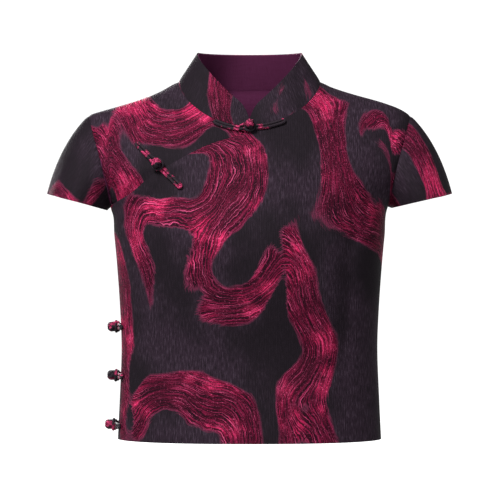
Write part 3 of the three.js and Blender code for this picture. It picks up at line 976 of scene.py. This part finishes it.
def jacquardPattern(finish, x, y):
    # generic flowing ribbons: bands that sway, brushed with streaks that follow them
    look = jacquardLook
    angle = math.radians(look["flowAngle"])
    along = x * math.cos(angle) + y * math.sin(angle)
    across = y * math.cos(angle) - x * math.sin(angle)
    sway = swayAt(finish, x, y)
    shiver = finish.noise(finish.point(x * 60, y * 60, 0.0), 1.0, 2.0, 0.6)
    field = across / look["ribbonSpacing"] + (sway - 0.5) * (4 * look["sway"])
    field = field + (shiver - 0.5) * look["shiver"]
    phase = field * (2 * math.pi)
    # how steeply the ribbons change: where that is gentle a ribbon would pool, so it is held back
    aside = swayAt(finish, x + look["slopeStep"], y)
    upward = swayAt(finish, x, y + look["slopeStep"])
    steep = 4 * look["sway"] / look["slopeStep"]
    slopeX = (aside - sway) * steep - math.sin(angle) / look["ribbonSpacing"]
    slopeY = (upward - sway) * steep + math.cos(angle) / look["ribbonSpacing"]
    calm = 1 - ((slopeX * slopeX + slopeY * slopeY) ** 0.5 / look["calmBelow"]).least(1.0)
    streak = finish.noise(finish.point(along * 36, field * look["streaks"], 2.0), 1.0, 3.0, 0.66)
    # light threads along the ribbons: partly the print's pink threads, partly a painted glint
    threadAndGlint = finish.noise(finish.point(along * 30, field * look["streaks"] * 1.4, 6.0), 1.0, 2.0, 0.6)
    broad = finish.noise(finish.point(x * 17, y * 17, 5.0), 1.0, 3.0, 0.55)
    width = finish.noise(finish.point(x, y, look["shifts"][1] + 7), 9.0, 1.0, 0.5)
    peak = (abs(sway - 0.5) * 4.4) ** 3
    limit = look["share"] + peak + calm * look["calmWeight"]
    limit = limit + (width - 0.5) * look["widthWeight"] + (streak - 0.5) * look["streakWeight"]
    band = phase.wave()
    ribbon = band.step(limit - 0.02, limit + 0.05)
    edge = 1 - (abs(band - limit - 0.05) * 9.0).least(1.0)
    return ribbon, edge, streak, threadAndGlint, broad


def crepeGround(finish, x, y):
    # black satin that fades into plum crepe, whose threads stand in broken upright dashes
    look = jacquardLook
    area = finish.noise(finish.point(x * 11, y * 8, 9.0), 1.0, 2.0, 0.5).step(0.4, 0.6)
    wander = finish.noise(finish.point(x * 150, y * 9, 0.0), 1.0, 2.0, 0.55)
    ribs = (x * (2 * math.pi / look["ribWidth"]) + (wander - 0.5) * 9.0).wave()
    dash = finish.noise(finish.point(x * 640, y * 105, 1.0), 1.0, 2.0, 0.6)
    plum = finish.mix(dash.step(0.5, 0.68) * 0.6, look["groundPlum"], look["groundThread"])
    plum = finish.mix(dash.step(0.46, 0.34) * 0.7 + ribs.step(0.5, 1.0) * 0.2, plum, look["groundBlack"])
    return finish.mix(area * 0.85 + 0.15, look["groundBlack"], plum), ribs, dash


def makeJacquard():
    look = jacquardLook
    finish = Finish("jacquard satin", {"Specular IOR Level": 0.008})
    x, y = finish.cutPlace()
    ribbon, edge, streak, threadAndGlint, broad = jacquardPattern(finish, x, y)
    ground, ribs, dash = crepeGround(finish, x, y)
    # bright patches of the crimson: partly the print's lighter tone, partly a painted satin highlight laid
    # into the colour at random places
    brightToneAndSheen = broad.step(0.5, 0.66)
    red = finish.mix(broad.step(0.5, 0.34) * 0.5, look["crimson"], look["crimsonDark"])
    red = finish.mix(brightToneAndSheen * 0.85, red, look["crimsonToneAndSheen"])
    # painted glint: light threads and flecks in the lightest crimson, strongest in the bright patches, partly
    # the print's own pink threads
    red = finish.mix(threadAndGlint.step(0.55, 0.7) * (0.4 + brightToneAndSheen * 0.5), red, look["crimsonThreadAndGlint"])
    groove = streak.step(0.56, 0.47) * (1 - brightToneAndSheen * 0.15)
    red = finish.mix(groove, red, look["crimsonDark"])
    fleck = finish.noise(finish.point(x * 420, y * 420, 4.0), 1.0, 2.0, 0.6)
    red = finish.mix(fleck.step(0.46, 0.34) * 0.5, red, look["crimsonDark"])
    red = finish.mix(fleck.step(0.58, 0.74) * (0.15 + brightToneAndSheen * 0.25), red, look["crimsonThreadAndGlint"])
    cloth = finish.mix(ribbon, ground, red)
    cloth = finish.mix(edge * 0.45, cloth, look["outline"])
    grainX = (x * (2 * math.pi / look["threadWidth"])).wave()
    grainY = (y * (2 * math.pi / look["threadWidth"])).wave()
    finish.set("Base Color", cloth)
    finish.set("Roughness", 0.58 - ribbon * 0.08 + (dash - 0.5) * 0.2)
    height = ribs * 0.4 + dash * 1.2 + grainX * grainY * 0.14 + ribbon * (1.3 - groove * 1.1)
    finish.set("Normal", finish.bump(height, look["relief"]))
    return finish.material


plumSatinLook = {
    "deep": (0.036, 0.0069, 0.0205, 1),
    "light": (0.053, 0.0118, 0.0345, 1),
    "relief": 0.00008,
}


def makePlumSatin():
    finish = Finish("plum satin", {"Specular IOR Level": 0.004})
    x, y = finish.cutPlace()
    thread = finish.noise(finish.point(x * 900, y * 60, 0.0), 1.0, 2.0, 0.6)
    slub = finish.noise(finish.point(x * 60, y * 420, 3.0), 1.0, 2.0, 0.6)
    part = ((thread - 0.5) * 0.9 + (slub - 0.5) * 0.8 + 0.5).most(0.0).least(1.0)
    finish.set("Base Color", finish.mix(part, plumSatinLook["deep"], plumSatinLook["light"]))
    finish.set("Roughness", 0.46 + (slub - 0.5) * 0.2)
    finish.set("Normal", finish.bump(thread * 0.6 + slub * 0.5, plumSatinLook["relief"]))
    return finish.material


jacquard = makeJacquard()
plumSatin = makePlumSatin()
for piece in clothPieces + collarPieces[:1]:
    piece.data.materials.append(jacquard)
    piece.data.materials.append(plumSatin)
for _ in range(2):  # the lining is plum on both of its faces
    collarPieces[1].data.materials.append(plumSatin)
print("cloth finishes made")


frogs = {
    "cordRadius": 1.75,
    "hairpinRadius": 1.85,
    "ballRadius": 6.7,
    "ballLift": 9.3,
    "stemRadius": 3.2,
    "ringRadius": 3.9,
    "ringLift": 2.8,
    "ringCord": 2.8,
    "loopRadius": 6.1,
    "loopNeck": 4.5,
    "loopRise": 5,
    "coreShare": 0.66,
    "barLift": 1.9,
    "loopLift": 4.9,
    "neckDrop": 4.6,
    "neckSpread": 0.98,
    "chest": (-106, -103, 0.714, -0.7),
    "lengths": {"neck": 42, "chest": 37, "side": 34},
    "sideHeights": (-293, -352, -411),
    "knotLeads": 3,
    "knotBights": 5,
    "knotReach": 66,
    "knotCord": 2.3,
    "knotWeave": 0.8,
    "knotSteps": 260,
    "ringSteps": 40,
}


def onFront(x, z, s):
    # the line keeps to the main front at the knot and sinks to the underlap towards its loop's end
    return onBody(x, z, "front", underlapDrop(x, z) * smoothStep(-s, 6, 13))


def neckFrogLine(s):
    place = neckline(np.arcsin(s * frogs["neckSpread"] / body["sideNeck"][0]), "front")
    return onFront(place[:, 0], place[:, 1] - frogs["neckDrop"], s)


def chestFrogLine(s):
    x, z, alongX, alongZ = frogs["chest"]
    return onFront(x + s * alongX, z + s * alongZ, s)


def sideFrogLine(height):
    # round the right side at one height, to the front where s is above 0
    turn = np.arange(0, 1.2, 0.004)
    level = np.full(turn.shape, float(height))
    half = halfWidthAt(level)
    x = half * np.cos(turn) ** (2 / body["ringPower"])
    ways = {}
    for side in ("front", "back"):
        y = standsOff[side](level) * np.sin(turn) ** (2 / body["ringPower"])
        ways[side] = np.concatenate([[0], np.cumsum(np.hypot(np.diff(x), np.diff(y)))])

    def at(s):
        front = -np.interp(np.abs(s), ways["front"], x)
        back = -np.interp(np.abs(s), ways["back"], x)
        z = np.full(np.shape(s), float(height))
        onFrontSide, onBackSide = onBody(front, z, "front"), onBody(back, z, "back")
        return [np.where((s >= 0)[:, None], a, b) for a, b in zip(onFrontSide, onBackSide)]

    return at


def placesOn(lineAt, s, w, h):
    # places beside a line: s along it from the knot, w sideways and h above the cloth
    point, normal = lineAt(s)
    tangent = lineAt(s + 0.5)[0] - lineAt(s - 0.5)[0]
    sideways = unit(np.cross(normal, tangent))
    return point + sideways * np.asarray(w)[:, None] + normal * np.asarray(h)[:, None], normal


def turnOf(middle, radius, start, end, count):
    turn = np.radians(np.linspace(start, end, count))
    return np.stack([middle + radius * np.cos(turn), radius * np.sin(turn)], -1)


def straight(start, end, w, count):
    s = np.linspace(start, end, count + 2)[1:-1]
    return np.stack([s, np.full(s.shape, float(w))], -1)


def loopRoute(lineAt, length):
    r = frogs["hairpinRadius"]
    far, near = r - length, -frogs["loopRadius"] - frogs["loopNeck"]
    parts = [turnOf(far, r, 90, 270, 10), straight(far, near, -r, 12)]
    parts += [turnOf(0, frogs["loopRadius"], -150, 150, 22), straight(near, far, r, 12)]
    s, w = np.concatenate(parts).T
    rise = smoothStep(s, near - frogs["loopRise"], -frogs["loopRadius"])
    return placesOn(lineAt, s, w, between(frogs["barLift"], frogs["loopLift"], rise))


def barRoute(lineAt, length):
    r = frogs["hairpinRadius"]
    parts = [turnOf(length - r, r, -90, 90, 10), straight(length - r, 0, r, 18)]
    parts += [turnOf(0, r, 90, 270, 10), straight(0, length - r, -r, 18)]
    s, w = np.concatenate(parts).T
    return placesOn(lineAt, s, w, np.full(s.shape, frogs["barLift"]))


def knotRoute(lineAt):
    # one cord woven round a ball, over and under itself in turn
    turn = np.linspace(0, 2 * math.pi, frogs["knotSteps"], endpoint=False)
    rise = np.radians(frogs["knotReach"]) * np.cos(frogs["knotBights"] * turn)
    out = frogs["ballRadius"] - frogs["knotCord"] - frogs["knotWeave"]
    out = out + frogs["knotWeave"] * np.sin(2 * frogs["knotBights"] * turn)
    foot, normal = placesOn(lineAt, np.zeros(1), np.zeros(1), np.array([frogs["ballLift"]]))
    tangent = unit(lineAt(np.array([0.5]))[0] - lineAt(np.array([-0.5]))[0])
    sideways = unit(np.cross(normal, tangent))
    spin = frogs["knotLeads"] * turn
    flat = np.cos(spin)[:, None] * tangent + np.sin(spin)[:, None] * sideways
    away = flat * np.cos(rise)[:, None] + normal * np.sin(rise)[:, None]
    return foot + away * out[:, None], away, foot[0], normal[0]


def cordRound(bm, places, normals, radius, sides=12):
    # a closed cord: a circle swept along the places, its last ring bridged to the first
    count = len(places)
    rings = []
    for i in range(count):
        tangent = unit(places[(i + 1) % count] - places[i - 1])
        sideways = unit(np.cross(tangent, normals[i]))
        upward = np.cross(sideways, tangent)
        ring = bmesh.ops.create_circle(bm, cap_ends=False, radius=1.0, segments=sides)["verts"]
        for v in ring:
            place = places[i] + (sideways * v.co.x + upward * v.co.y) * radius
            v.co = Vector(place * mm)
        rings.append(ring)
    for i in range(count):
        here, there = rings[i], rings[(i + 1) % count]
        edges = [edge for v in here for edge in v.link_edges if edge.other_vert(v) in set(here)]
        nextEdges = [edge for v in there for edge in v.link_edges if edge.other_vert(v) in set(there)]
        bmesh.ops.bridge_loops(bm, edges=list(dict.fromkeys(edges + nextEdges)))


def makeFrogPiece(name, routes, knot=None, replaces=()):
    bm = bmesh.new()
    for places, normals, radius in routes:
        cordRound(bm, places, normals, radius)
    if knot is not None:
        places, away, middle, normal = knot
        cordRound(bm, places, away, frogs["knotCord"], sides=10)
        upright = Vector(normal).to_track_quat("Z", "Y").to_matrix().to_4x4()
        turn = np.linspace(0, 2 * math.pi, frogs["ringSteps"], endpoint=False)[:, None]
        tangent = unit(places[0] - middle - normal * ((places[0] - middle) @ normal))
        flat = np.cos(turn) * tangent + np.sin(turn) * np.cross(normal, tangent)
        level = middle - normal * (frogs["ballLift"] - frogs["ringLift"])
        upwards = np.repeat(normal[None], frogs["ringSteps"], 0)
        cordRound(bm, level + flat * frogs["ringRadius"], upwards, frogs["ringCord"])
        inside = frogs["ballRadius"] * frogs["coreShare"] * mm
        core = bmesh.ops.create_icosphere(bm, subdivisions=3, radius=inside)["verts"]
        bmesh.ops.translate(bm, verts=core, vec=Vector(middle * mm))
        deep = frogs["ballLift"] - frogs["barLift"]
        made = bmesh.ops.create_cone(bm, cap_ends=True, segments=14, radius1=frogs["stemRadius"] * mm,
                                     radius2=frogs["stemRadius"] * mm, depth=deep * mm)["verts"]
        bmesh.ops.transform(bm, matrix=upright, verts=made)
        bmesh.ops.translate(bm, verts=made, vec=Vector((middle - normal * deep / 2) * mm))
    bmesh.ops.recalc_face_normals(bm, faces=bm.faces)
    mesh = bpy.data.meshes.new(name)
    bm.to_mesh(mesh)
    bm.free()
    for polygon in mesh.polygons:
        polygon.use_smooth = True
    piece = bpy.data.objects.new(name, mesh)
    bpy.context.scene.collection.objects.link(piece)
    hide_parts(*replaces)
    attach(piece, "root")
    return piece


frogLines = {"neck": neckFrogLine, "chest": chestFrogLine}
for number, height in enumerate(frogs["sideHeights"], 1):
    frogLines["side_" + str(number)] = sideFrogLine(height)

frogPieces = []
for kind, lineAt in frogLines.items():
    length = frogs["lengths"][kind.split("_")[0]]
    node = "frog_" + kind
    loop = loopRoute(lineAt, length) + (frogs["cordRadius"],)
    bar = barRoute(lineAt, length) + (frogs["cordRadius"],)
    frogPieces.append(makeFrogPiece(node + "_loop_cord", [loop], replaces=[node + "_loop"]))
    knot = knotRoute(lineAt)
    frogPieces.append(makeFrogPiece(node + "_button_cord", [bar], knot, [node + "_button"]))


frogClothLook = {
    "redDeep": (0.040, 0.0030, 0.010, 1),
    "redBright": (0.24, 0.022, 0.066, 1),
    "blackDeep": (0.0036, 0.0026, 0.0038, 1),
    "blackLight": (0.013, 0.009, 0.012, 1),
    "patches": 105,
    "threadWidth": 0.0011,
    "relief": 0.00012,
}


def makeFrogCloth():
    look = frogClothLook
    finish = Finish("frog cord cloth", {"Specular IOR Level": 0.03})
    place = finish.node("TexCoord", "Object")
    x, y, z = finish.axes(place)
    patch = finish.noise(place, look["patches"], 1.5, 0.5)
    bias = (x + y + z * 1.3) * (2 * math.pi / look["threadWidth"])
    thread = bias.wave()
    streak = finish.noise(finish.point(x * 500, y * 500, z * 900), 1.0, 2.0, 0.6)
    red = finish.mix(streak.step(0.42, 0.62), look["redDeep"], look["redBright"])
    dark = finish.mix(streak, look["blackDeep"], look["blackLight"])
    finish.set("Base Color", finish.mix(patch.step(0.51, 0.6), dark, red))
    finish.set("Roughness", 0.5 + (streak - 0.5) * 0.2)
    finish.set("Normal", finish.bump(thread * 0.5 + streak, look["relief"]))
    return finish.material


frogCloth = makeFrogCloth()
for piece in frogPieces:
    piece.data.materials.append(frogCloth)
print("frogs made")


print("done")
